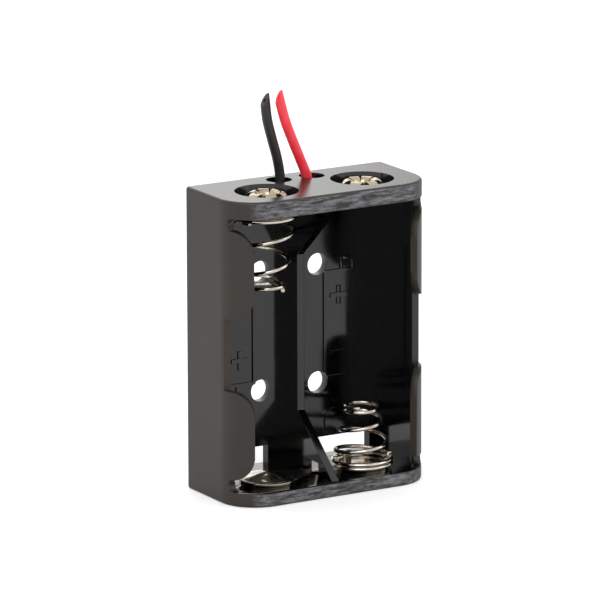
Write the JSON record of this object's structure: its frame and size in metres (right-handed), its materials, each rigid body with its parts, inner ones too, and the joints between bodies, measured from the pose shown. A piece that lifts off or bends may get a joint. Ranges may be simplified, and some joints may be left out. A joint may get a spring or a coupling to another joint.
{
  "type": "cylindrical cell holder",
  "caption": "Open black plastic holder for two N-size cells laid side by side, with coil springs, riveted contacts and short black and red leads.",
  "frame": {"origin": "centre of the lower end wall's underside", "axes": "+X across the two bays to the right, -Y towards the open front, +Z along the cells towards the end with the leads"},
  "size_m": [0.027, 0.0128, 0.0477],
  "materials": {
    "case": "gloss",
    "sheet": "satin",
    "spring": "gloss",
    "eyelet": "gloss",
    "black_pvc": "satin",
    "red_pvc": "satin",
    "strands": "satin",
    "solder": "satin"
  },
  "bodies": {
    "holder": {"case": "case", "bridge_strip": "sheet", "spring_plate": "sheet", "contact_plate": "sheet", "eyelet_left": "eyelet", "eyelet_right": "eyelet", "black_lead": "black_pvc", "red_lead": "red_pvc", "black_core": "strands", "red_core": "strands", "black_solder": "solder", "red_solder": "solder"},
    "upper_spring": {"spring_left": "spring"},
    "lower_spring": {"spring_right": "spring"}
  },
  "joints": [
    {"name": "upper_spring_press", "type": "slide", "parent": "holder", "child": "upper_spring", "axis": [0, 0, 1], "range_m": [0, 0.0075], "stiffness_N_per_m": 300, "deforming": ["spring_left"]},
    {"name": "lower_spring_press", "type": "slide", "parent": "holder", "child": "lower_spring", "axis": [0, 0, -1], "range_m": [0, 0.0055], "stiffness_N_per_m": 400, "deforming": ["spring_right"]}
  ]
}
